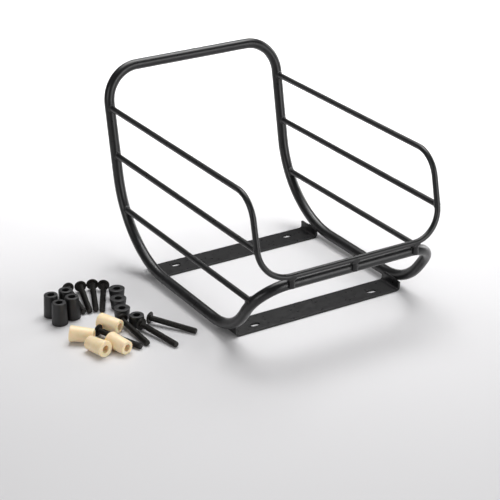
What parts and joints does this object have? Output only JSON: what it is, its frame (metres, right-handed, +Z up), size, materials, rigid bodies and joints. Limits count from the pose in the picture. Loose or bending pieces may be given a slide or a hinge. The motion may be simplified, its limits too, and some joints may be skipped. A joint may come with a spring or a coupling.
{
  "type": "rear rack",
  "caption": "Open bicycle cargo rack of bent steel tube and bar with a tall rear hoop, side rails, slotted mounting straps and a loose kit of screws and spacers.",
  "frame": {"origin": "middle of the four mounting slots, on the underside of the two straps", "axes": "+Z up, +Y towards the tall hoop, +X to the right as seen from the low double bar"},
  "size_m": [0.4768, 0.4323, 0.2815],
  "materials": {
    "black_powder_coat": "satin black powder coat",
    "black_screw": "black coated steel",
    "black_nylon": "moulded black plastic",
    "cream_nylon": "natural cream plastic"
  },
  "bodies": {
    "rack": {"front_loop_tube": "black_powder_coat", "lower_rail_left": "black_powder_coat", "lower_rail_right": "black_powder_coat", "middle_rail_left": "black_powder_coat", "middle_rail_right": "black_powder_coat", "mounting_strap_front": "black_powder_coat", "mounting_strap_rear": "black_powder_coat", "tall_hoop_tube": "black_powder_coat", "tie_pin_centre": "black_powder_coat", "tie_pin_left": "black_powder_coat", "tie_pin_right": "black_powder_coat", "upper_hoop_bar": "black_powder_coat"},
    "loose_cream_spacer_1": {"cream_spacer_1": "cream_nylon"},
    "loose_cream_spacer_2": {"cream_spacer_2": "cream_nylon"},
    "loose_cream_spacer_3": {"cream_spacer_3": "cream_nylon"},
    "loose_cream_spacer_4": {"cream_spacer_4": "cream_nylon"},
    "loose_screw_1": {"mounting_screw_1": "black_screw"},
    "loose_screw_2": {"mounting_screw_2": "black_screw"},
    "loose_screw_3": {"mounting_screw_3": "black_screw"},
    "loose_screw_4": {"mounting_screw_4": "black_screw"},
    "loose_screw_5": {"mounting_screw_5": "black_screw"},
    "loose_screw_6": {"mounting_screw_6": "black_screw"},
    "loose_screw_7": {"mounting_screw_7": "black_screw"},
    "loose_screw_8": {"mounting_screw_8": "black_screw"},
    "loose_short_spacer_1": {"short_spacer_1": "black_nylon"},
    "loose_short_spacer_2": {"short_spacer_2": "black_nylon"},
    "loose_short_spacer_3": {"short_spacer_3": "black_nylon"},
    "loose_short_spacer_4": {"short_spacer_4": "black_nylon"},
    "loose_tall_spacer_1": {"tall_spacer_1": "black_nylon"},
    "loose_tall_spacer_2": {"tall_spacer_2": "black_nylon"},
    "loose_tall_spacer_3": {"tall_spacer_3": "black_nylon"},
    "loose_tall_spacer_4": {"tall_spacer_4": "black_nylon"}
  },
  "joints": [
    {"name": "cream_spacer_1_lift", "type": "slide", "parent": "rack", "child": "loose_cream_spacer_1", "axis": [0, 0, 1], "range_m": [0, 0.1]},
    {"name": "cream_spacer_2_lift", "type": "slide", "parent": "rack", "child": "loose_cream_spacer_2", "axis": [0, 0, 1], "range_m": [0, 0.1]},
    {"name": "cream_spacer_3_lift", "type": "slide", "parent": "rack", "child": "loose_cream_spacer_3", "axis": [0, 0, 1], "range_m": [0, 0.1]},
    {"name": "cream_spacer_4_lift", "type": "slide", "parent": "rack", "child": "loose_cream_spacer_4", "axis": [0, 0, 1], "range_m": [0, 0.1]},
    {"name": "screw_1_lift", "type": "slide", "parent": "rack", "child": "loose_screw_1", "axis": [0, 0, 1], "range_m": [0, 0.1]},
    {"name": "screw_2_lift", "type": "slide", "parent": "rack", "child": "loose_screw_2", "axis": [0, 0, 1], "range_m": [0, 0.1]},
    {"name": "screw_3_lift", "type": "slide", "parent": "rack", "child": "loose_screw_3", "axis": [0, 0, 1], "range_m": [0, 0.1]},
    {"name": "screw_4_lift", "type": "slide", "parent": "rack", "child": "loose_screw_4", "axis": [0, 0, 1], "range_m": [0, 0.1]},
    {"name": "screw_5_lift", "type": "slide", "parent": "rack", "child": "loose_screw_5", "axis": [0, 0, 1], "range_m": [0, 0.1]},
    {"name": "screw_6_lift", "type": "slide", "parent": "rack", "child": "loose_screw_6", "axis": [0, 0, 1], "range_m": [0, 0.1]},
    {"name": "screw_7_lift", "type": "slide", "parent": "rack", "child": "loose_screw_7", "axis": [0, 0, 1], "range_m": [0, 0.1]},
    {"name": "screw_8_lift", "type": "slide", "parent": "rack", "child": "loose_screw_8", "axis": [0, 0, 1], "range_m": [0, 0.1]},
    {"name": "short_spacer_1_lift", "type": "slide", "parent": "rack", "child": "loose_short_spacer_1", "axis": [0, 0, 1], "range_m": [0, 0.1]},
    {"name": "short_spacer_2_lift", "type": "slide", "parent": "rack", "child": "loose_short_spacer_2", "axis": [0, 0, 1], "range_m": [0, 0.1]},
    {"name": "short_spacer_3_lift", "type": "slide", "parent": "rack", "child": "loose_short_spacer_3", "axis": [0, 0, 1], "range_m": [0, 0.1]},
    {"name": "short_spacer_4_lift", "type": "slide", "parent": "rack", "child": "loose_short_spacer_4", "axis": [0, 0, 1], "range_m": [0, 0.1]},
    {"name": "tall_spacer_1_lift", "type": "slide", "parent": "rack", "child": "loose_tall_spacer_1", "axis": [0, 0, 1], "range_m": [0, 0.1]},
    {"name": "tall_spacer_2_lift", "type": "slide", "parent": "rack", "child": "loose_tall_spacer_2", "axis": [0, 0, 1], "range_m": [0, 0.1]},
    {"name": "tall_spacer_3_lift", "type": "slide", "parent": "rack", "child": "loose_tall_spacer_3", "axis": [0, 0, 1], "range_m": [0, 0.1]},
    {"name": "tall_spacer_4_lift", "type": "slide", "parent": "rack", "child": "loose_tall_spacer_4", "axis": [0, 0, 1], "range_m": [0, 0.1]}
  ]
}
